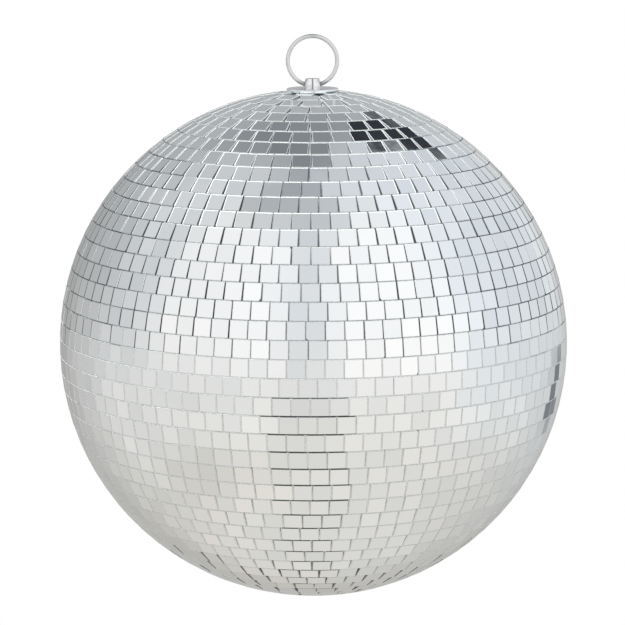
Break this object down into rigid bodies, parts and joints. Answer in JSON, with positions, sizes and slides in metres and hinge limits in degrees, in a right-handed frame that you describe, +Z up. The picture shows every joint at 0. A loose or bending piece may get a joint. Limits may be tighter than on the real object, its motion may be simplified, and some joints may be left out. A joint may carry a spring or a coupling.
{
  "type": "mirror ball",
  "caption": "Hollow ball covered with rows of small flat square mirror tiles, hung from a round wire ring through a grooved post and cap plate.",
  "frame": {"origin": "centre of the ball", "axes": "+Z up through the hanger post and the ring; the ring stands in the XZ plane, and its cross hole runs along X"},
  "size_m": [0.3002, 0.3002, 0.3326],
  "materials": {
    "ring_chrome": "bright nickel-chrome plated wire",
    "post_chrome": "polished turned steel, chrome plated",
    "plate_chrome": "chrome plated, softly brushed",
    "zinc_steel": "bright zinc plated",
    "spring_steel": "oiled spring steel",
    "core_plastic": "moulded matt plastic",
    "adhesive": "dried light grey contact adhesive",
    "mirror_glass": "silvered clear glass with cut edges"
  },
  "bodies": {
    "ring": {"hanging_ring": "ring_chrome"},
    "ball": {"hanger_post": "post_chrome", "cap_plate": "plate_chrome", "load_plate": "zinc_steel", "flat_washer": "zinc_steel", "spring_washer": "spring_steel", "lock_nut": "zinc_steel", "core_upper_shell": "core_plastic", "core_lower_shell": "core_plastic", "adhesive_bed": "adhesive", "mirror_bottom_tiles": "mirror_glass", "mirror_row_02": "mirror_glass", "mirror_row_03": "mirror_glass", "mirror_row_04": "mirror_glass", "mirror_row_05": "mirror_glass", "mirror_row_06": "mirror_glass", "mirror_row_07": "mirror_glass", "mirror_row_08": "mirror_glass", "mirror_row_09": "mirror_glass", "mirror_row_10": "mirror_glass", "mirror_row_11": "mirror_glass", "mirror_row_12": "mirror_glass", "mirror_row_13": "mirror_glass", "mirror_row_14": "mirror_glass", "mirror_row_15": "mirror_glass", "mirror_row_16": "mirror_glass", "mirror_row_17": "mirror_glass", "mirror_row_18": "mirror_glass", "mirror_row_19": "mirror_glass", "mirror_row_20": "mirror_glass", "mirror_row_21": "mirror_glass", "mirror_row_22": "mirror_glass", "mirror_row_23": "mirror_glass", "mirror_row_24": "mirror_glass", "mirror_row_25": "mirror_glass", "mirror_row_26": "mirror_glass", "mirror_row_27": "mirror_glass", "mirror_row_28": "mirror_glass", "mirror_row_29": "mirror_glass", "mirror_row_30": "mirror_glass", "mirror_row_31": "mirror_glass", "mirror_row_32": "mirror_glass", "mirror_row_33": "mirror_glass", "mirror_row_34": "mirror_glass", "mirror_row_35": "mirror_glass", "mirror_row_36": "mirror_glass", "mirror_row_37": "mirror_glass", "mirror_row_38": "mirror_glass", "mirror_row_39": "mirror_glass", "mirror_row_40": "mirror_glass", "mirror_row_41": "mirror_glass", "mirror_row_42": "mirror_glass", "mirror_row_43": "mirror_glass", "mirror_row_44": "mirror_glass"}
  },
  "joints": [
    {"name": "ball_swing", "type": "hinge", "parent": "ring", "child": "ball", "pos_m": [0, 0, 0.15301], "axis": [1, 0, 0], "range_deg": [-92, 92]}
  ]
}
